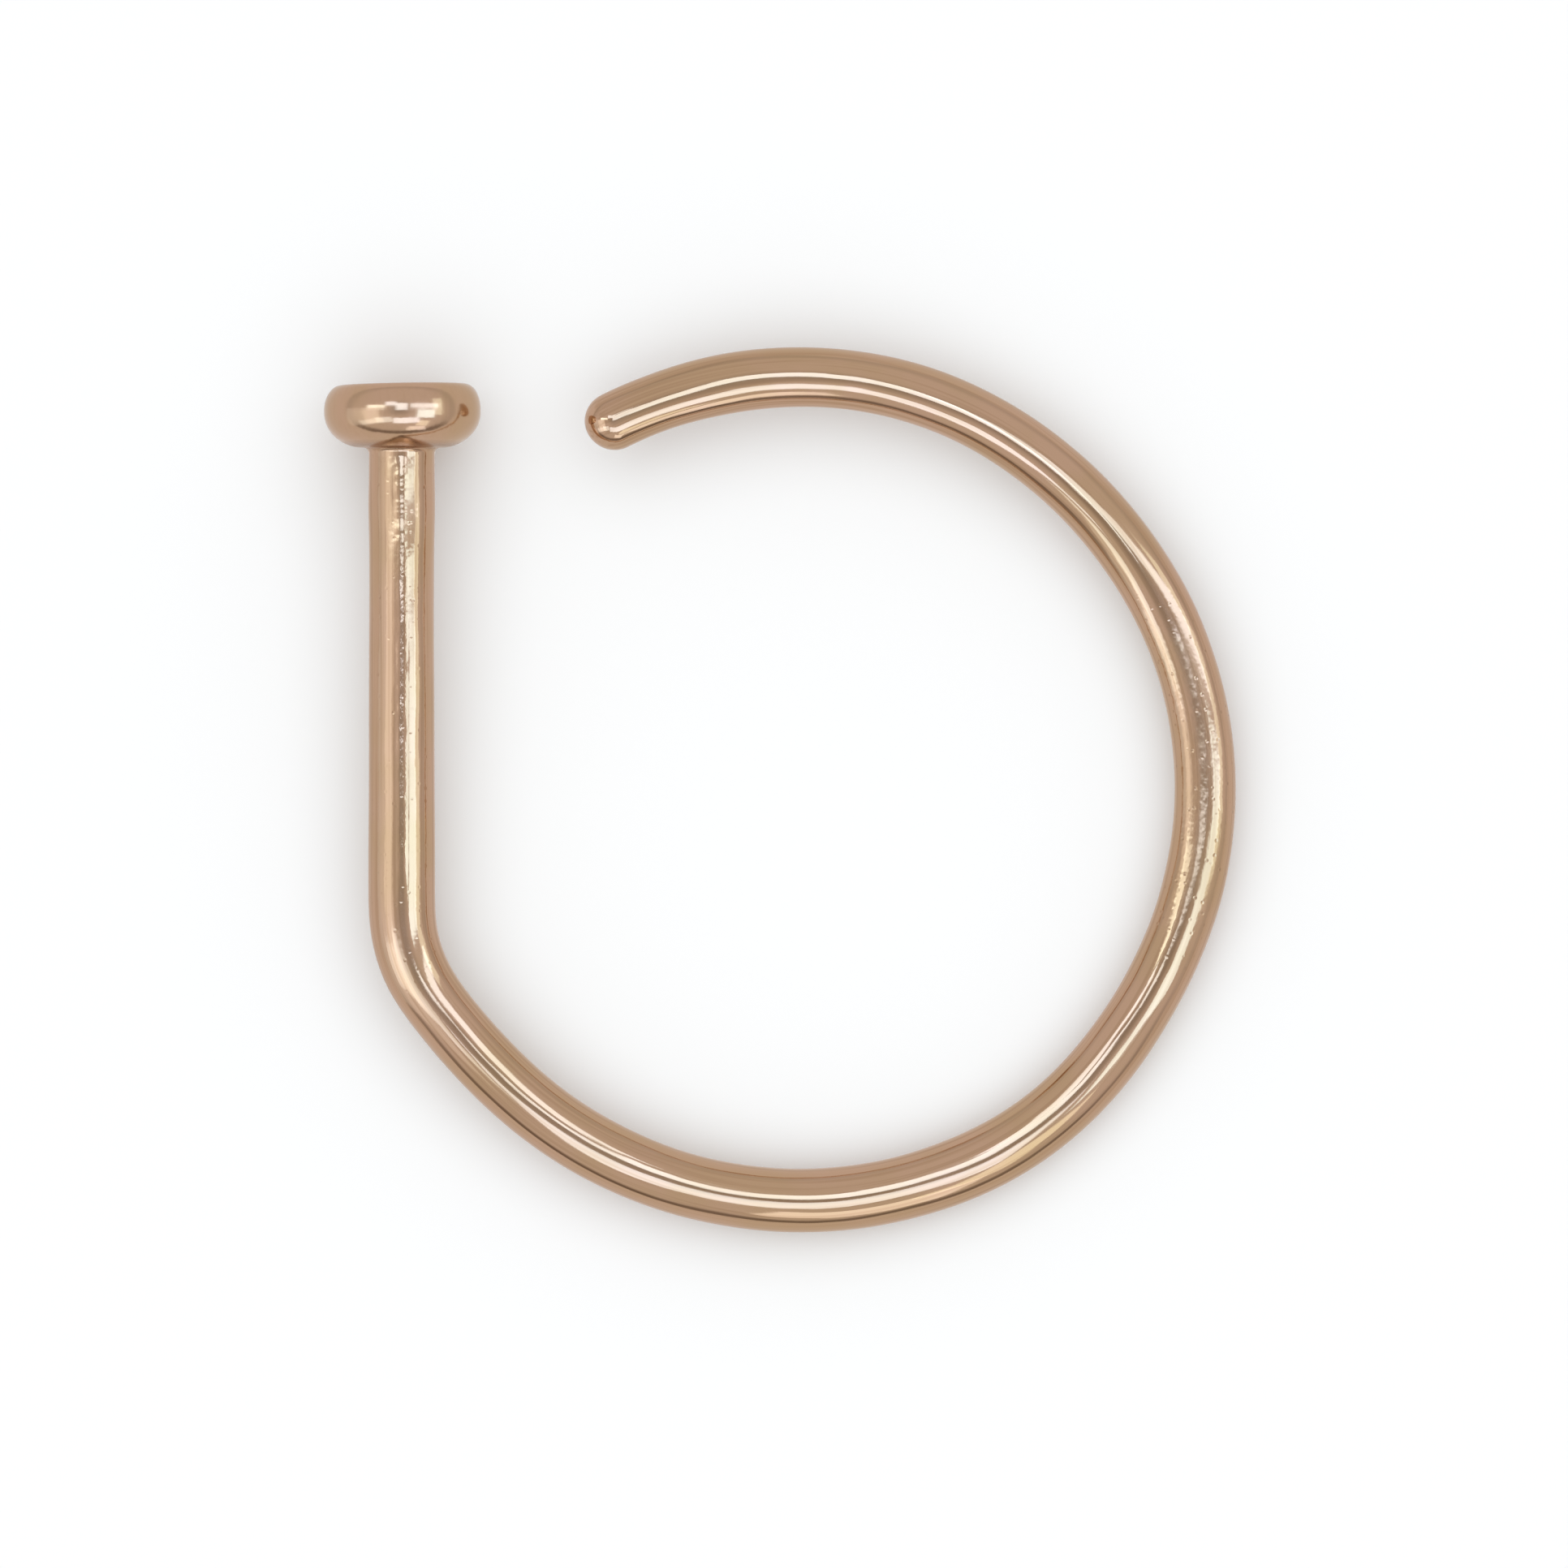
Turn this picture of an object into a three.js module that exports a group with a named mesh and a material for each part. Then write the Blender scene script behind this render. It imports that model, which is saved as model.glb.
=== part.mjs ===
// Nose ring: one length of round wire with a flat-topped button head on its end,
// bent into a hoop with one straight side. It is made here as the real one is:
// the wire and its head are turned as one straight pin, and the pin is bent.
//
// Millimetres, +Z up. The hoop lies on its side on a flat surface, as it comes
// to rest by itself: on the rim of its head and on the far side of its bow.
// Seen from above, the post runs along Y on the left with the head at its top.
// The origin is the middle of the box around the hoop, on that surface.

import * as THREE from "three";
import { mergeVertices } from "three/addons/utils/BufferGeometryUtils.js";

// Button head, turned about the post's axis
const HEAD_DIAMETER = 1.97;
const HEAD_FLAT = 1.55; // diameter of its flat top
const HEAD_EDGE = 0.29; // height of the rounded edge below the flat top
const HEAD_BAND = 0.1; // height of the straight part of the rim
const HEAD_UNDER = 0.4; // height of the rounded underside
const SOLDER_FILLET = 0.08; // radius between the underside and the wire

// The wire, in the order in which it is bent, from under the head to the tip:
// the length of each stretch, how far it turns, and the wire's diameter at its
// end. The wire is 20 gauge, drawn a little thinner towards the free tip, and
// bent by hand, so its bow is not quite a circle.
const WIRE_START = 0.83;
const BENDS = [
  { stretch: "post", length_mm: 5.8, turn_deg: 0, wire_mm: 0.83 },
  { stretch: "heel", length_mm: 1.15, turn_deg: 35.8, wire_mm: 0.82 },
  { stretch: "sole", length_mm: 1.5, turn_deg: 10.9, wire_mm: 0.81 },
  { stretch: "lower_bow", length_mm: 6.2, turn_deg: 66.3, wire_mm: 0.795 },
  { stretch: "corner", length_mm: 2.0, turn_deg: 26.5, wire_mm: 0.785 },
  { stretch: "flank", length_mm: 2.0, turn_deg: 18.7, wire_mm: 0.775 },
  { stretch: "side_bow", length_mm: 4.4, turn_deg: 49.9, wire_mm: 0.765 },
  { stretch: "shoulder", length_mm: 2.9, turn_deg: 30.4, wire_mm: 0.75 },
  { stretch: "crown", length_mm: 2.5, turn_deg: 30, wire_mm: 0.745 },
  { stretch: "tip", length_mm: 2.95, turn_deg: 31.9, wire_mm: 0.735 },
];
const BEND_EASE = 0.6; // the length over which one stretch runs into the next

// How the hoop lies: it leans towards the far side of its bow, because the head
// is thicker than the wire. LEAN_TOWARDS is counted from +X towards +Y.
const LEAN_TOWARDS_DEG = -44.8;
const LEAN_DEG = 2.82;

// Fineness of the faceted surface
const SIDES = 28; // round the wire and the head
const BOW_STEP = 0.36; // along the bends
const ROUND_STEPS = 5; // in each rounded edge

const FINISH = { color: 0xc89d7c, roughness: 0.12, metalness: 1 };

const sum = (list) => list.reduce((a, b) => a + b, 0);
const WIRE_LENGTH = sum(BENDS.map((b) => b.length_mm));

// A quarter of an ellipse as profile points, without its first point
function rounded(centreRadius, centreAlong, spanRadius, spanAlong, from, to) {
  return Array.from({ length: ROUND_STEPS }, (_, i) => {
    const angle = THREE.MathUtils.degToRad(
      from + ((to - from) * (i + 1)) / ROUND_STEPS,
    );
    return new THREE.Vector2(
      centreRadius + spanRadius * Math.cos(angle),
      centreAlong + spanAlong * Math.sin(angle),
    );
  });
}

// The turn reached at a distance along the wire, with sharp changes of bend
function sharpTurn(along) {
  let start = 0,
    turned = 0;
  for (const bend of BENDS) {
    const last = bend === BENDS[BENDS.length - 1];
    if (along < start + bend.length_mm || last)
      return (
        turned +
        (Math.max(along - start, 0) / bend.length_mm) * bend.turn_deg
      );
    start += bend.length_mm;
    turned += bend.turn_deg;
  }
}

// The same with each change of bend eased in and out
function easedTurn(along) {
  const samples = 24;
  return (
    sum(
      Array.from({ length: samples }, (_, i) =>
        sharpTurn(along + BEND_EASE * ((i + 0.5) / samples - 0.5)),
      ),
    ) / samples
  );
}

// The wire's radius at a distance along it
function wireRadius(along) {
  let start = 0,
    before = WIRE_START;
  for (const bend of BENDS) {
    if (along <= start + bend.length_mm)
      return THREE.MathUtils.lerp(
        before / 2,
        bend.wire_mm / 2,
        Math.max(along - start, 0) / bend.length_mm,
      );
    start += bend.length_mm;
    before = bend.wire_mm;
  }
  return before / 2;
}

// The bent wire's middle line, in the plane of the hoop. The post starts at the
// origin and runs towards -Y, and above it the line goes straight on.
class BentLine extends THREE.Curve {
  constructor(step = 0.01) {
    super();
    this.step = step;
    this.points = [new THREE.Vector3()];
    for (let i = 0; i * step < WIRE_LENGTH; i++) {
      const ahead = this.way((i + 0.5) * step).multiplyScalar(step);
      this.points.push(this.points[i].clone().add(ahead));
    }
  }
  way(along) {
    const angle = THREE.MathUtils.degToRad(easedTurn(along) - 90);
    return new THREE.Vector3(Math.cos(angle), Math.sin(angle), 0);
  }
  at(along) {
    if (along <= 0) return new THREE.Vector3(0, -along, 0);
    const i = Math.min(Math.floor(along / this.step), this.points.length - 2);
    return this.points[i]
      .clone()
      .lerp(this.points[i + 1], along / this.step - i);
  }
  getPoint(t, target = new THREE.Vector3()) {
    return target.copy(this.at(t * WIRE_LENGTH));
  }
}

// The straight pin's profile: x is the radius and y the distance along the
// wire, below zero in the head. It starts on the axis at the head's flat top
// and ends on it at the round tip.
function pinProfile() {
  const rim = HEAD_DIAMETER / 2,
    neck = WIRE_START / 2,
    edge = rim - HEAD_FLAT / 2,
    top = -(HEAD_UNDER + HEAD_BAND + HEAD_EDGE),
    points = [new THREE.Vector2(0, top), new THREE.Vector2(HEAD_FLAT / 2, top)];
  points.push(...rounded(rim - edge, top + HEAD_EDGE, edge, HEAD_EDGE, -90, 0));
  const under = rim - neck - SOLDER_FILLET;
  points.push(new THREE.Vector2(rim, top + HEAD_EDGE + HEAD_BAND));
  points.push(
    ...rounded(rim - under, -HEAD_UNDER, under, HEAD_UNDER, 0, 84).slice(0, -1),
  );
  points.push(
    new THREE.Vector2(neck + SOLDER_FILLET, 0),
    new THREE.Vector2(neck + 0.3 * SOLDER_FILLET, 0.3 * SOLDER_FILLET),
    new THREE.Vector2(neck, SOLDER_FILLET),
  );
  const straight = BENDS[0].length_mm - BEND_EASE / 2,
    tip = wireRadius(WIRE_LENGTH),
    bow = WIRE_LENGTH - tip - straight,
    steps = Math.ceil(bow / BOW_STEP);
  for (let i = 0; i <= steps; i++) {
    const along = straight + (bow * i) / steps;
    points.push(new THREE.Vector2(wireRadius(along), along));
  }
  points.push(...rounded(0, WIRE_LENGTH - tip, tip, tip, 0, 90));
  points[points.length - 1].x = 0;
  return points;
}

// Bends the straight pin: each point keeps its place across the wire and goes
// to the bent line at its distance along it.
function bentPin() {
  const line = new BentLine();
  const pin = new THREE.LatheGeometry(pinProfile(), SIDES);
  pin.deleteAttribute("normal");
  pin.deleteAttribute("uv");
  const places = pin.getAttribute("position");
  for (let i = 0; i < places.count; i++) {
    const along = places.getY(i),
      way = line.way(Math.max(along, 0)),
      across = new THREE.Vector3(way.y, -way.x, 0),
      place = line
        .at(along)
        .addScaledVector(across, places.getX(i))
        .add(new THREE.Vector3(0, 0, places.getZ(i)));
    places.setXYZ(i, place.x, place.y, place.z);
  }
  return mergeVertices(pin, 1e-4);
}

const hoop = new THREE.Mesh(
  bentPin(),
  new THREE.MeshStandardMaterial(FINISH),
);
hoop.name = "hoop";

const towards = THREE.MathUtils.degToRad(LEAN_TOWARDS_DEG);
const lying = new THREE.Group();
lying.setRotationFromAxisAngle(
  new THREE.Vector3(-Math.sin(towards), Math.cos(towards), 0),
  THREE.MathUtils.degToRad(LEAN_DEG),
);
lying.add(hoop);

const noseRing = new THREE.Group();
noseRing.add(lying);
const box = new THREE.Box3().setFromObject(noseRing, true);
lying.position.set(
  -(box.min.x + box.max.x) / 2,
  -(box.min.y + box.max.y) / 2,
  -box.min.z,
);

export default noseRing;
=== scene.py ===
import math

import bpy
import numpy as np
from mathutils import Matrix, Vector


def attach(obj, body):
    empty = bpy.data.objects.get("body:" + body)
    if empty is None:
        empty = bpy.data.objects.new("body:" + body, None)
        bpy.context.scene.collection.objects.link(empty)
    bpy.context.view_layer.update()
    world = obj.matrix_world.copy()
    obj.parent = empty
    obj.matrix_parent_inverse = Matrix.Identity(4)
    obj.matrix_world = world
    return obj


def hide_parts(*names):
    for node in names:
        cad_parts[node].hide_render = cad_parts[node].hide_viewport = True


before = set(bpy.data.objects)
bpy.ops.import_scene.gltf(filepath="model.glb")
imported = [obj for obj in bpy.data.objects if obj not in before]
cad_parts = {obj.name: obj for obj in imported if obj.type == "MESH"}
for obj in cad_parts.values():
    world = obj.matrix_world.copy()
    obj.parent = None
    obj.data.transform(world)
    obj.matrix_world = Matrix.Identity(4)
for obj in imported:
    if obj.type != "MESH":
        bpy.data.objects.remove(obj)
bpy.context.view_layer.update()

MM = 0.001

# ---------------------------------------------------------------- the hoop
# The same straight pin and bends as the frame's hoop, in millimetres: turned
# straight with its head on its end, then bent. Polishing has rounded over most of
# the straight band that the head's rim has there.
HEAD = dict(diameter=1.97, flat=1.55, edge=0.32, band=0.03, under=0.44)
SOLDER_FILLET = 0.08
WIRE_START = 0.83
BENDS = [
    # stretch, length in mm, turn in degrees, wire diameter at its end in mm
    ("post", 5.8, 0.0, 0.83),
    ("heel", 1.15, 35.8, 0.82),
    ("sole", 1.5, 10.9, 0.81),
    ("lower_bow", 6.2, 66.3, 0.795),
    ("corner", 2.0, 26.5, 0.785),
    ("flank", 2.0, 18.7, 0.775),
    ("side_bow", 4.4, 49.9, 0.765),
    ("shoulder", 2.9, 30.4, 0.75),
    ("crown", 2.5, 30.0, 0.745),
    ("tip", 2.95, 31.9, 0.735),
]
BEND_EASE = 0.6
LEAN_TOWARDS_DEG = -44.8
LEAN_DEG = 2.82

WIRE_LENGTH = sum(b[1] for b in BENDS)
ENDS = np.r_[0.0, np.cumsum([b[1] for b in BENDS])]
TURNS = np.r_[0.0, np.cumsum([b[2] for b in BENDS])]
RADII = np.r_[WIRE_START, [b[3] for b in BENDS]] / 2


def eased_turn(along):
    """The turn reached at a distance along the wire, in degrees."""
    last = BENDS[-1]
    sharp_at = np.r_[-9.0, ENDS, ENDS[-1] + 9.0]
    sharp = np.r_[0.0, TURNS, TURNS[-1] + 9.0 * last[2] / last[1]]
    offsets = BEND_EASE * ((np.arange(48) + 0.5) / 48 - 0.5)
    return np.mean([np.interp(along + o, sharp_at, sharp) for o in offsets], axis=0)


def wire_radius(along):
    return np.interp(along, ENDS, RADII)


STEP = 0.01
_mids = (np.arange(int(WIRE_LENGTH / STEP) + 2) + 0.5) * STEP
_angle = np.radians(eased_turn(_mids) - 90)
LINE = np.vstack([[0.0, 0.0], np.cumsum(np.c_[np.cos(_angle), np.sin(_angle)] * STEP, axis=0)])


def line_at(along):
    """The bent middle line in the plane of the hoop, and its direction there."""
    at = np.clip(along, 0, None)
    marks = np.arange(len(LINE)) * STEP
    x = np.interp(at, marks, LINE[:, 0])
    y = np.interp(at, marks, LINE[:, 1]) - np.clip(along, None, 0)
    way = np.radians(eased_turn(at) - 90)
    return x, y, np.cos(way), np.sin(way)


def arc(radius0, along0, span_r, span_a, start, end, count):
    """Points of an elliptic arc of the profile, without its first one."""
    a = np.radians(np.linspace(start, end, count + 1)[1:])
    return [(radius0 + span_r * c, along0 + span_a * s) for c, s in zip(np.cos(a), np.sin(a))]


def pin_profile():
    """(radius, distance along the wire) from the middle of the head's flat top to the tip."""
    rim, neck = HEAD["diameter"] / 2, WIRE_START / 2
    edge = rim - HEAD["flat"] / 2
    top = -(HEAD["under"] + HEAD["band"] + HEAD["edge"])
    points = [(0.0, top)]
    points += [(r, top) for r in np.linspace(0.08, HEAD["flat"] / 2, 9)]
    points += arc(rim - edge, top + HEAD["edge"], edge, HEAD["edge"], -90, 0, 16)
    points += [(rim, top + HEAD["edge"] + HEAD["band"] * k / 4) for k in (1, 2, 3, 4)]
    under = rim - neck - SOLDER_FILLET
    points += arc(rim - under, -HEAD["under"], under, HEAD["under"], 0, 84, 24)[:-1]
    points += arc(neck + SOLDER_FILLET, SOLDER_FILLET, -SOLDER_FILLET, -SOLDER_FILLET, 84, 0, 8)
    tip = RADII[-1]
    start, stop = SOLDER_FILLET, WIRE_LENGTH - tip
    for along in np.linspace(start, stop, 621)[1:]:
        points.append((float(wire_radius(along)), float(along)))
    points += arc(0.0, stop, tip, tip, 0, 90, 22)
    points[-1] = (0.0, WIRE_LENGTH)
    return np.array(points)


# The wire isn't perfectly round: bending and hand polishing leave it slightly
# oval and three-sided, in directions that wander along it.
OVAL_MM = 0.006
LOBES_MM = 0.0022
WANDER = [
    # cycles over the wire, phase, weight, each for its own slow wave
    (2.3, 0.4, 1.0),
    (4.1, 2.2, 0.8),
    (7.7, 5.1, 0.55),
    (12.9, 1.3, 0.35),
]
# A shallow flat on the wire's front, halfway up the far side of the bow, where the
# bending tool held it: its depth, its half width as an angle, and where it fades in and out.
FLAT_MM = 0.03
FLAT_HALF_RAD = 0.6
FLAT_PLACE = (19.1, 20.7, 22.5, 23.8)
# The head is soldered on a touch off the post's axis, with its top not quite square.
HEAD_OFF_MM = 0.008
HEAD_SKEW = 0.017


def wander(along, shift):
    t = along / WIRE_LENGTH * 2 * math.pi
    return sum(w * np.sin(n * t + p + shift * (1 + i)) for i, (n, p, w) in enumerate(WANDER)) / 2


def smooth(low, high, value):
    t = np.clip((value - low) / (high - low), 0, 1)
    return t * t * (3 - 2 * t)


def hoop_mesh(sides=120):
    profile = pin_profile()
    radius, along = profile[1:-1, 0], profile[1:-1, 1]
    x, y, wx, wy = line_at(along)
    a = np.arange(sides) / sides * 2 * math.pi
    across, up = np.cos(a), np.sin(a)
    fade = smooth(0.05, 0.8, along) * (1 - smooth(WIRE_LENGTH - 0.9, WIRE_LENGTH - 0.3, along))
    oval = OVAL_MM * fade * (0.6 + wander(along, 0.0))
    lobes = LOBES_MM * fade * (0.6 + wander(along, 1.7))
    bumps = oval[:, None] * np.cos(2 * (a - 1.5 * wander(along, 3.1)[:, None]))
    bumps = bumps + lobes[:, None] * np.cos(3 * (a - wander(along, 4.4)[:, None]))
    flat = FLAT_MM * smooth(*FLAT_PLACE[:2], along) * (1 - smooth(*FLAT_PLACE[2:], along))
    bumps = bumps - flat[:, None] * np.exp(-(((a - math.pi / 2) / FLAT_HALF_RAD) ** 2))
    pin = np.stack([radius[:, None] * across, radius[:, None] * up, along[:, None] + 0 * across], -1)
    radius = radius[:, None] + bumps
    # across is to the outside of the bow
    px = x[:, None] + radius * across * wy[:, None]
    py = y[:, None] - radius * across * wx[:, None]
    pz = radius * up
    in_head = (1 - smooth(-0.45, 0.0, along))[:, None]
    px = px + HEAD_OFF_MM * in_head
    py = py + HEAD_SKEW * px * (1 - smooth(-0.75, -0.35, along))[:, None]
    verts = np.stack([px, py, pz], -1).reshape(-1, 3)
    n = len(along)
    i, j = np.meshgrid(np.arange(n - 1), np.arange(sides), indexing="ij")
    k = (j + 1) % sides
    quads = np.stack([i * sides + j, (i + 1) * sides + j, (i + 1) * sides + k, i * sides + k], -1)
    ends = line_at(profile[[0, -1], 1])
    first, last = len(verts), len(verts) + 1
    verts = np.vstack([verts, np.c_[ends[0], ends[1], [0, 0]]])
    pin = np.vstack([pin.reshape(-1, 3), [[0, 0, profile[0, 1]], [0, 0, profile[-1, 1]]]])
    j = np.arange(sides)
    fans = [(first, q, (q + 1) % sides) for q in j]
    fans += [(last, (n - 1) * sides + (q + 1) % sides, (n - 1) * sides + q) for q in j]
    return verts, quads.reshape(-1, 4).tolist(), [tuple(map(int, f)) for f in fans], pin


# From the plane of the hoop to the frame: leaned, then stood on the surface.
towards = math.radians(LEAN_TOWARDS_DEG)
LEAN = Matrix.Rotation(math.radians(LEAN_DEG), 3, Vector((-math.sin(towards), math.cos(towards), 0)))

verts, quads, fans, pin = hoop_mesh()
leaned = verts @ np.array(LEAN).T
low, high = leaned.min(0), leaned.max(0)
SHIFT = np.array([-(low[0] + high[0]) / 2, -(low[1] + high[1]) / 2, -low[2]])


def to_frame(x, y, z=0.0):
    """A point in the plane of the hoop, in mm, as a place in the frame in metres."""
    return Vector((np.array(LEAN) @ np.array([x, y, z]) + SHIFT) * MM)


mesh = bpy.data.meshes.new("polished_hoop")
mesh.from_pydata(((leaned + SHIFT) * MM).tolist(), [], quads + fans)
mesh.validate()
mesh.shade_smooth()
# Each point's place on the straight pin, in mm, for the marks that follow the wire
place = mesh.attributes.new("pin", "FLOAT_VECTOR", "POINT")
place.data.foreach_set("vector", pin.astype(np.float32).ravel())
hoop = bpy.data.objects.new("polished_hoop", mesh)
bpy.context.scene.collection.objects.link(hoop)

# ---------------------------------------------------------------- metal
# Rose-gold plating over polished steel. Its marks are laid out on the straight
# pin, so they follow the wire round its bends: fine draw lines along it, slight
# orange peel, and more pits where it was gripped for straightening and bending.
ROSE = (0.65, 0.435, 0.30, 1.0)
GOLD = (0.61, 0.42, 0.26, 1.0)
STREAK = (0.50, 0.32, 0.195, 1.0)
# painted shade for the corner of the solder joint, also used to darken the pits
JOINT_SHADE_AND_PIT_BROWN = (0.36, 0.21, 0.125, 1.0)
GRIPPED = [
    # distance along the wire in mm, how strongly it is marked there
    (0.0, 0.5),
    (6.4, 0.5),
    (7.6, 0.15),
    (17.0, 0.15),
    (18.6, 0.55),
    (22.4, 0.55),
    (24.2, 0.15),
    (31.45, 0.15),
]
# Where the jaws of the bending tool left the surface matt
SCUFFED = [(0.0, 0.4), (6.2, 0.3), (7.4, 0.0), (18.0, 0.0), (19.4, 1.0), (22.4, 1.0), (23.4, 0.0)]
# An uneven line that the straightening left along the post, beside its middle
SEAM = [(0.1, 0.0), (0.3, 1.0), (5.2, 1.0), (5.8, 0.0)]
SEAM_FROM_MM = 0.10
SEAM_WIDE_MM = 0.17
# Small dents across the wire, where the head was held for soldering
DENTED = [(0.1, 0.0), (0.3, 1.0), (1.05, 1.0), (1.35, 0.0)]


def polished_metal():
    mat = bpy.data.materials.new("polished_rose_gold")
    mat.use_nodes = True
    nt = mat.node_tree
    nt.nodes.clear()
    link = nt.links.new

    def node(kind, **settings):
        made = nt.nodes.new(kind)
        for key, value in settings.items():
            setattr(made, key, value)
        return made

    def math_(operation, first, second=None, clamp=False):
        made = node("ShaderNodeMath", operation=operation, use_clamp=clamp)
        for socket, value in zip(made.inputs, (first, second)):
            if isinstance(value, (int, float)):
                socket.default_value = value
            elif value is not None:
                link(value, socket)
        return made.outputs[0]

    def noise(scale, detail=3.0, roughness=0.55):
        """Noise on the pin, with a scale per mm across (x, y) and along (z) it."""
        stretch = node("ShaderNodeVectorMath", operation="MULTIPLY")
        link(pin_place.outputs["Vector"], stretch.inputs[0])
        stretch.inputs[1].default_value = scale
        made = node("ShaderNodeTexNoise", noise_dimensions="3D")
        made.inputs["Scale"].default_value = 1.0
        made.inputs["Detail"].default_value = detail
        made.inputs["Roughness"].default_value = roughness
        link(stretch.outputs[0], made.inputs["Vector"])
        return made.outputs["Fac"]

    def ramp(value, stops, smooth_=True):
        made = node("ShaderNodeValToRGB")
        made.color_ramp.interpolation = "EASE" if smooth_ else "LINEAR"
        points = made.color_ramp.elements
        points.remove(points[-1])
        for i, (at, level) in enumerate(stops):
            point = points[0] if i == 0 else points.new(at)
            point.position = at
            point.color = (level, level, level, 1)
        link(value, made.inputs["Fac"])
        return made.outputs["Color"]

    def mix(fac, first, second):
        made = node("ShaderNodeMix", data_type="RGBA")
        link(fac, made.inputs[0])
        for socket, value in ((made.inputs[6], first), (made.inputs[7], second)):
            if isinstance(value, tuple):
                socket.default_value = value
            else:
                link(value, socket)
        return made.outputs[2]

    def bump(height, distance, normal_=None):
        made = node("ShaderNodeBump")
        made.inputs["Strength"].default_value = 1.0
        made.inputs["Distance"].default_value = distance
        link(height, made.inputs["Height"])
        if normal_ is not None:
            link(normal_, made.inputs["Normal"])
        return made.outputs["Normal"]

    pin_place = node("ShaderNodeAttribute", attribute_type="GEOMETRY", attribute_name="pin")
    split = node("ShaderNodeSeparateXYZ")
    link(pin_place.outputs["Vector"], split.inputs[0])
    along = split.outputs["Z"]

    def by_place(table):
        return ramp(math_("DIVIDE", along, WIRE_LENGTH), [(at / WIRE_LENGTH, level) for at, level in table], False)

    on_head = math_("LESS_THAN", along, 0.02)
    on_wire = math_("SUBTRACT", 1.0, math_("MULTIPLY", on_head, 0.85))
    gripped = math_("MULTIPLY", by_place(GRIPPED), on_wire)
    scuffed = math_("MULTIPLY", by_place(SCUFFED), on_wire)
    dented = by_place(DENTED)

    # heights
    draw_lines = noise((12.0, 12.0, 0.3), 3.0, 0.5)
    peel = math_("MULTIPLY", noise((4.4, 4.4, 1.9), 1.5, 0.45), gripped)
    grain = math_("MULTIPLY", noise((15.0, 15.0, 11.0), 1.0, 0.5), gripped)
    from_middle = math_("MULTIPLY", math_("ABSOLUTE", split.outputs["X"]), 10.0)
    on_ridge = ramp(from_middle, [(0.4, 1.0), (1.0, 0.0)])
    on_flat = math_("MULTIPLY", ramp(from_middle, [(1.0, 1.0), (1.6, 0.0)]), scuffed)
    grain = math_("ADD", grain, math_("MULTIPLY", math_("MULTIPLY", noise((15.0, 15.0, 12.0), 1.0, 0.5), on_flat), 2.5))
    beside = math_("DIVIDE", math_("ADD", split.outputs["X"], SEAM_FROM_MM), SEAM_WIDE_MM)
    on_seam = math_("MULTIPLY", ramp(beside, [(0.0, 0.0), (0.4, 1.0), (0.6, 1.0), (1.0, 0.0)]), by_place(SEAM))
    seam = math_("MULTIPLY", noise((5.0, 5.0, 2.2), 4.0, 0.62), on_seam)
    dents = math_("MULTIPLY", math_("MULTIPLY", noise((3.2, 3.2, 9.5), 1.0, 0.5), dented), on_ridge)
    soft_peel = noise((2.6, 2.6, 1.6), 1.0, 0.5)
    cells = node("ShaderNodeTexVoronoi", feature="F1")
    cells.inputs["Scale"].default_value = 10.0
    link(pin_place.outputs["Vector"], cells.inputs["Vector"])
    which = node("ShaderNodeSeparateColor")
    link(cells.outputs["Color"], which.inputs[0])
    pitted = math_("MULTIPLY", math_("GREATER_THAN", which.outputs[0], 0.45), scuffed)
    deep = ramp(cells.outputs["Distance"], [(0.06, 1.0), (0.3, 0.0)])
    pits = math_("MULTIPLY", deep, pitted)
    radius = math_("SQRT", math_("ADD", math_("POWER", split.outputs["X"], 2.0), math_("POWER", split.outputs["Y"], 2.0)))
    turned = node("ShaderNodeTexNoise", noise_dimensions="1D")
    turned.inputs["Scale"].default_value = 26.0
    turned.inputs["Detail"].default_value = 3.0
    link(radius, turned.inputs["W"])
    rings = math_("MULTIPLY", turned.outputs["Fac"], on_head)

    normal_ = bump(draw_lines, DRAW_LINES_M)
    normal_ = bump(soft_peel, SOFT_PEEL_M, normal_)
    normal_ = bump(peel, PEEL_M, normal_)
    normal_ = bump(grain, GRAIN_M, normal_)
    normal_ = bump(seam, SEAM_M, normal_)
    normal_ = bump(dents, DENTS_M, normal_)
    normal_ = bump(math_("SUBTRACT", 1.0, pits), PITS_M, normal_)
    normal_ = bump(rings, RINGS_M, normal_)

    # colour: the plating is a little pinker or yellower in places, painted shade
    # darkens the corner of the solder joint, and the pits are darker
    colour = mix(ramp(noise((1.1, 1.1, 0.7), 3.0, 0.55), [(0.35, 0.0), (0.65, 1.0)]), ROSE, GOLD)
    # painted shade: darker towards the corner of the solder joint, fading out within 0.07 mm of it; the pits are
    # darkened too
    painted_joint_shade = math_("SUBTRACT", 1.0, math_("DIVIDE", math_("ABSOLUTE", math_("ADD", along, 0.015)), 0.07), clamp=True)
    painted_joint_shade_and_dark_pits = math_("ADD", math_("MULTIPLY", painted_joint_shade, 0.75), math_("MULTIPLY", pits, 0.3), clamp=True)
    streaks = math_("MULTIPLY", ramp(noise((17.0, 17.0, 0.22), 2.0, 0.5), [(0.47, 0.0), (0.66, 0.6)]), on_wire)
    colour = mix(streaks, colour, STREAK)
    colour = mix(painted_joint_shade_and_dark_pits, colour, JOINT_SHADE_AND_PIT_BROWN)

    # roughness
    worn = ramp(noise((2.6, 2.6, 0.8), 5.0, 0.65), [(0.3, 0.06), (0.7, 0.115)])
    roughness = math_("ADD", worn, math_("MULTIPLY", math_("SUBTRACT", draw_lines, 0.5), 0.1))
    roughness = math_("ADD", roughness, math_("MULTIPLY", painted_joint_shade_and_dark_pits, 0.25))
    roughness = math_("ADD", roughness, math_("MULTIPLY", on_head, 0.05))
    roughness = math_("ADD", roughness, math_("MULTIPLY", scuffed, 0.05), clamp=True)

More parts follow.
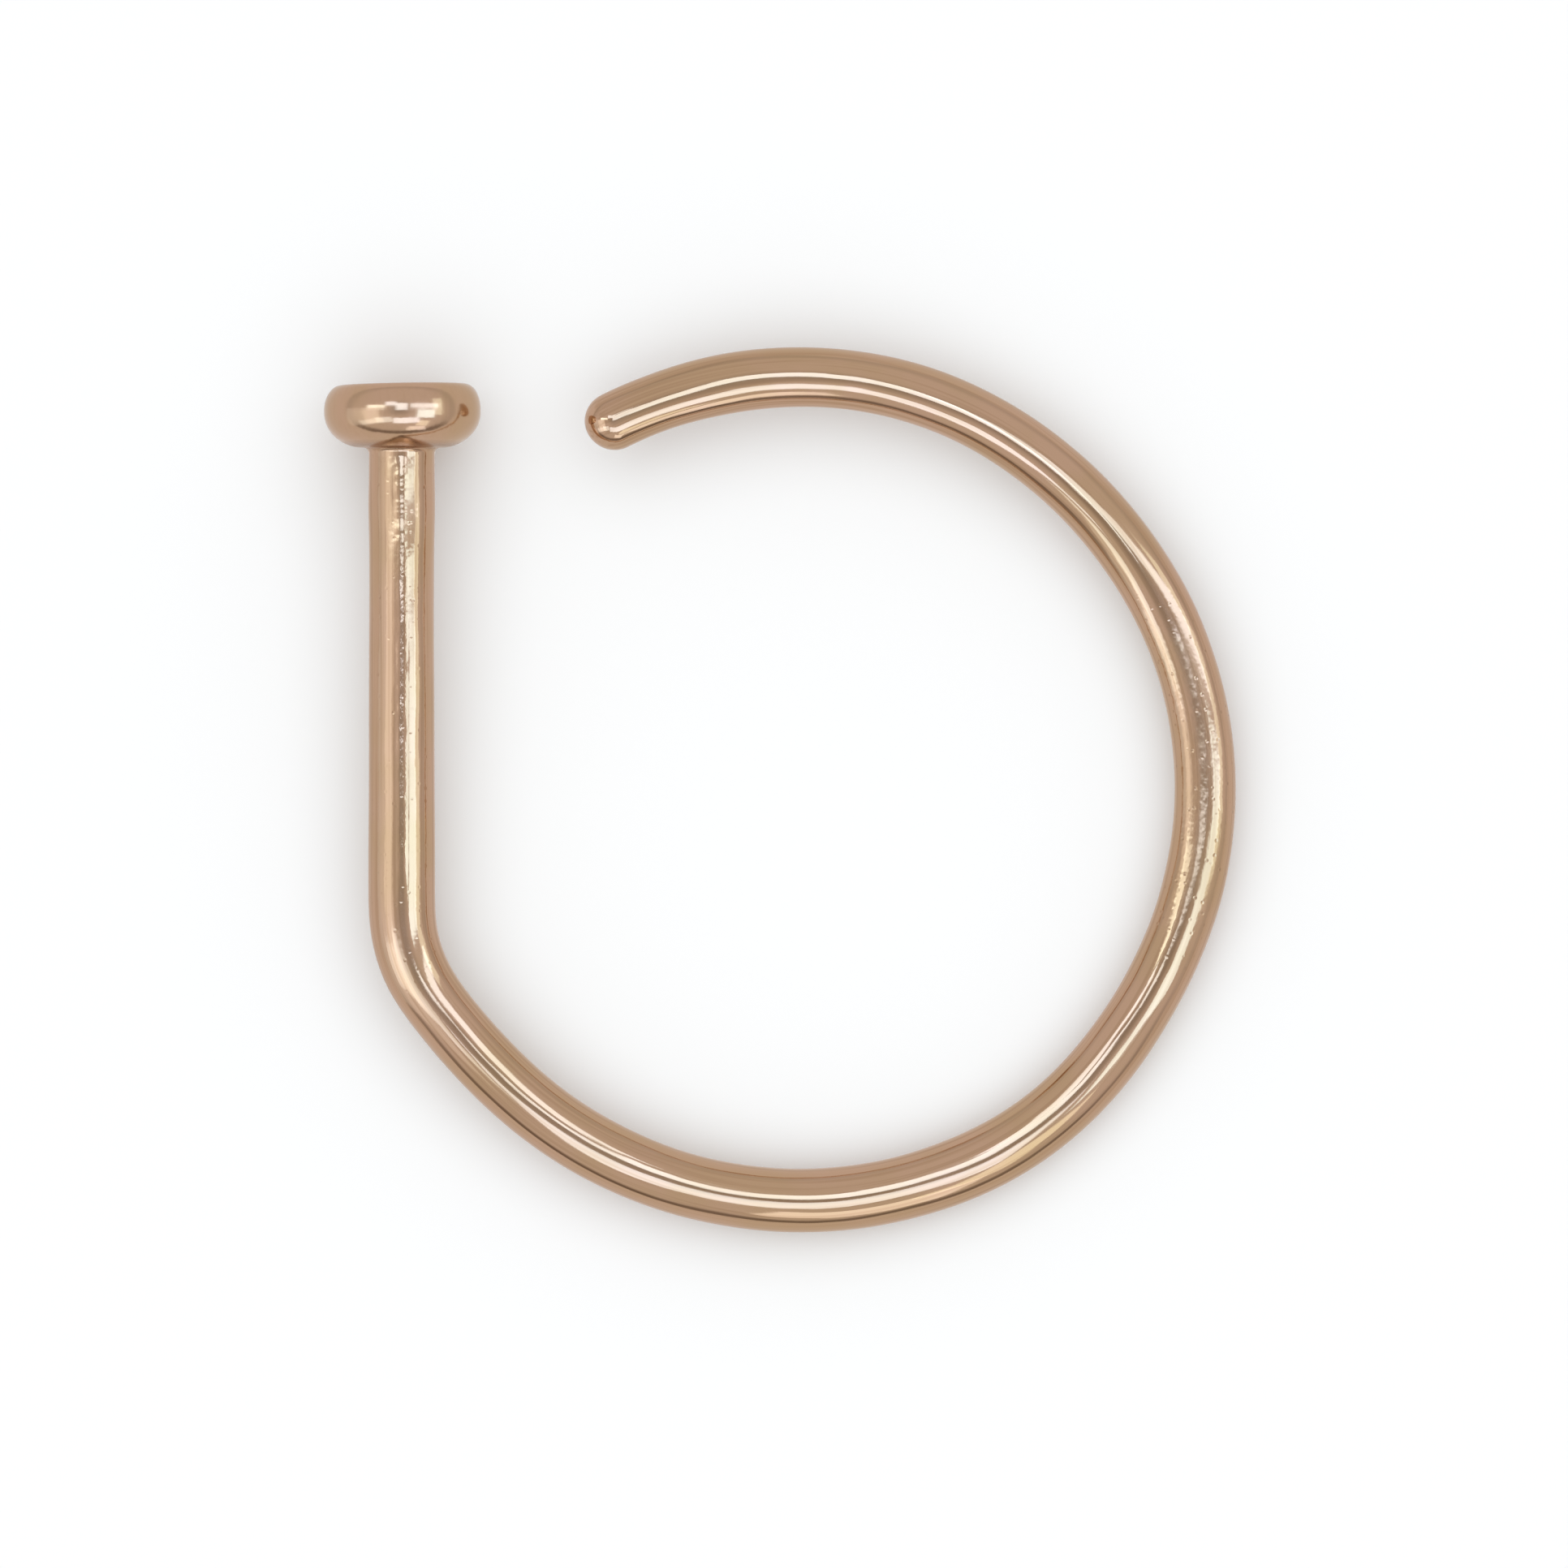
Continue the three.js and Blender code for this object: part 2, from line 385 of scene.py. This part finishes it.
    out = node("ShaderNodeOutputMaterial")
    bsdf = node("ShaderNodeBsdfPrincipled")
    bsdf.inputs["Metallic"].default_value = 1.0
    link(colour, bsdf.inputs["Base Color"])
    link(roughness, bsdf.inputs["Roughness"])
    link(normal_, bsdf.inputs["Normal"])
    link(bsdf.outputs["BSDF"], out.inputs["Surface"])
    return mat


# Depth of each kind of mark, in metres
DRAW_LINES_M = 1.2e-6
SOFT_PEEL_M = 3.0e-6
PEEL_M = 9.0e-6
GRAIN_M = 0.8e-6
SEAM_M = 9.0e-6
DENTS_M = 9.0e-6
PITS_M = 2.8e-6
RINGS_M = 0.25e-6

hoop.data.materials.append(polished_metal())
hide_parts("hoop")
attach(hoop, "root")

# ---------------------------------------------------------------- floor
floor_mesh = bpy.data.meshes.new("floor")
half = 1.5
floor_mesh.from_pydata([(-half, -half, 0), (half, -half, 0), (half, half, 0), (-half, half, 0)], [], [(0, 1, 2, 3)])
floor = bpy.data.objects.new("floor", floor_mesh)
bpy.context.scene.collection.objects.link(floor)
floor.location.z = -0.00001
white = bpy.data.materials.new("pale_floor")
white.use_nodes = True
b = white.node_tree.nodes["Principled BSDF"]
b.inputs["Base Color"].default_value = (0.9, 0.9, 0.9, 1)
b.inputs["Roughness"].default_value = 0.6
b.inputs["Specular IOR Level"].default_value = 0.1
floor.data.materials.append(white)
floor.visible_glossy = False  # the wire's edges mirror the room's low tone instead

# ---------------------------------------------------------------- camera
# Straight onto the face of the hoop, as in the photograph, whose 1932 pixels
# are 19.7 mm at the hoop. The post's middle line is at pixel 495.04 and the
# underside of the head at 551.26.
PIXEL = 0.0102
FRAME_MM = 1932 * PIXEL
middle = to_frame((966 - 495.04) * PIXEL, -(966 - 551.26) * PIXEL)
normal = LEAN @ Vector((0, 0, 1))
right = LEAN @ Vector((1, 0, 0))
upward = LEAN @ Vector((0, 1, 0))
CAMERA_MM = 150.0
cam = bpy.data.cameras.new("camera")
cam.sensor_width = 36.0
cam.lens = 36.0 * CAMERA_MM / FRAME_MM
cam.clip_start, cam.clip_end = 0.01, 5.0
camera = bpy.data.objects.new("camera", cam)
bpy.context.scene.collection.objects.link(camera)
camera.matrix_world = Matrix.Translation(middle + normal * CAMERA_MM * MM) @ LEAN.to_4x4()
bpy.context.scene.camera = camera

# ---------------------------------------------------------------- light
FILL = (1.6, (0.86, 0.95, 1.0))  # strength and colour

# Soft rectangular lamps over the hoop. Each is placed by the direction in which
# the middle of the hoop sees it: degrees away from the camera's axis to the
# right and upwards, its width and height in degrees, and how far away it is.
LAMPS = [
    # name, right, up, wide, tall, away in mm, radiance in red, green, blue
    ("bar_above", -1.5, 9.4, 16, 14.6, 135, (1.15, 1.60, 2.20)),
    ("bar_above_left", -16.5, 16, 14.5, 10.5, 135, (1.02, 1.44, 2.02)),
    ("bar_below", -1, -28, 39, 21, 28, (0.90, 1.28, 1.85)),
    ("right_panel", 34.5, -10, 27, 26, 110, (0.90, 1.45, 1.90)),
    ("right_upper", 29, 17, 44, 11, 36, (0.90, 1.28, 1.75)),
    ("right_far", 53.5, 10, 16, 40, 110, (0.48, 0.64, 0.62)),
    ("lower_right", 26.5, -43, 16, 21, 39, (0.60, 0.72, 0.68)),
    ("left_low", -37, -20, 23, 18, 24, (0.58, 0.82, 1.05)),
    ("left_lower", -60, -24, 22, 14, 24, (0.34, 0.46, 0.58)),
    ("left_panel", -52, -7, 25, 39, 23, (0.28, 0.31, 0.32)),
    ("left_thin", -39, 10.5, 27, 7, 80, (1.20, 1.60, 1.80)),
    ("left_far", -62, -18, 52, 42, 74, (0.20, 0.24, 0.27)),
    ("low_strip", 10.5, -62, 25, 17, 24, (0.68, 0.78, 0.90)),
]


def lamp(name, right_deg, up_deg, wide_deg, tall_deg, away_mm, radiance):
    away = math.radians(math.hypot(right_deg, up_deg))
    round_ = math.atan2(up_deg, right_deg)
    way = (right * math.cos(round_) + upward * math.sin(round_)) * math.sin(away) + normal * math.cos(away)
    strength = max(radiance)
    data = bpy.data.lights.new(name, "AREA")
    data.shape = "RECTANGLE"
    data.size = 2 * away_mm * MM * math.tan(math.radians(wide_deg / 2))
    data.size_y = 2 * away_mm * MM * math.tan(math.radians(tall_deg / 2))
    data.energy = strength * math.pi * data.size * data.size_y
    data.color = [level / strength for level in radiance]
    obj = bpy.data.objects.new(name, data)
    bpy.context.scene.collection.objects.link(obj)
    side = upward.cross(way).normalized()
    turn = Matrix((side, way.cross(side), way)).transposed()
    obj.matrix_world = Matrix.Translation(middle + way * away_mm * MM) @ turn.to_4x4()
    obj.visible_camera = False
    obj.visible_diffuse = False  # the metal mirrors them, the fill below lights the floor


for row in LAMPS:
    lamp(*row)

# An even fill from above for the floor
fill = bpy.data.lights.new("fill", "SUN")
fill.angle = math.radians(100)
fill.energy = FILL[0]
fill.color = FILL[1]
fill_obj = bpy.data.objects.new("fill", fill)
bpy.context.scene.collection.objects.link(fill_obj)
fill_obj.visible_glossy = False

# The room that the metal mirrors round the lamps: warm grey, darker low down, and
# darkest right overhead, where the camera is.
ROOM = [
    # height of the direction (sine of its elevation), level
    (0.0, 0.74),
    (0.03, 0.64),
    (0.10, 0.58),
    (0.22, 0.62),
    (0.35, 0.70),
    (0.9135, 0.70),
    (0.951, 0.62),
    (0.978, 0.54),
    (0.9945, 0.45),
    (1.0, 0.42),
]
ROOM_COLOUR = (1.0, 0.95, 0.92)
# Towards -Y something dark stands low down beyond the lamps.
DARK_LOW = [(0.0, 0.0), (0.02, 1.0), (0.17, 1.0), (0.25, 0.0)]
DARK = (0.26, 0.22, 0.20, 1.0)
BACKDROP = (0.97, 0.97, 0.97, 1.0)

world = bpy.data.worlds.new("studio")
bpy.context.scene.world = world
world.use_nodes = True
nt = world.node_tree
nt.nodes.clear()
link = nt.links.new


def sky_ramp(height, stops, tint=(1.0, 1.0, 1.0)):
    made = nt.nodes.new("ShaderNodeValToRGB")
    els = made.color_ramp.elements
    els.remove(els[-1])
    for i, (at, level) in enumerate(stops):
        stop = els[0] if i == 0 else els.new(at)
        stop.position = at
        stop.color = tuple(level * c for c in tint) + (1,)
    link(height, made.inputs["Fac"])
    return made.outputs["Color"]


coord = nt.nodes.new("ShaderNodeTexCoord")
split = nt.nodes.new("ShaderNodeSeparateXYZ")
link(coord.outputs["Generated"], split.inputs[0])
room = sky_ramp(split.outputs["Z"], ROOM, ROOM_COLOUR)
low = sky_ramp(split.outputs["Z"], DARK_LOW)
side = nt.nodes.new("ShaderNodeMapRange")
side.interpolation_type = "SMOOTHSTEP"
side.inputs["From Min"].default_value = -0.4
side.inputs["From Max"].default_value = -0.8
link(split.outputs["Y"], side.inputs["Value"])
there = nt.nodes.new("ShaderNodeMath")
there.operation = "MULTIPLY"
link(low, there.inputs[0])
link(side.outputs["Result"], there.inputs[1])
darken = nt.nodes.new("ShaderNodeMix")
darken.data_type = "RGBA"
link(there.outputs[0], darken.inputs[0])
link(room, darken.inputs[6])
darken.inputs[7].default_value = DARK
mirrored = nt.nodes.new("ShaderNodeBackground")
link(darken.outputs[2], mirrored.inputs["Color"])
# What shows behind the floor's edge is the same pale tone as the floor.
backdrop = nt.nodes.new("ShaderNodeBackground")
backdrop.inputs["Color"].default_value = BACKDROP
path = nt.nodes.new("ShaderNodeLightPath")
either = nt.nodes.new("ShaderNodeMixShader")
link(path.outputs["Is Camera Ray"], either.inputs[0])
link(mirrored.outputs[0], either.inputs[1])
link(backdrop.outputs[0], either.inputs[2])
wout = nt.nodes.new("ShaderNodeOutputWorld")
link(either.outputs[0], wout.inputs["Surface"])

scene = bpy.context.scene
scene.view_settings.view_transform = "Standard"
scene.view_settings.look = "None"
scene.view_settings.exposure = 0.0
scene.view_settings.gamma = 1.0
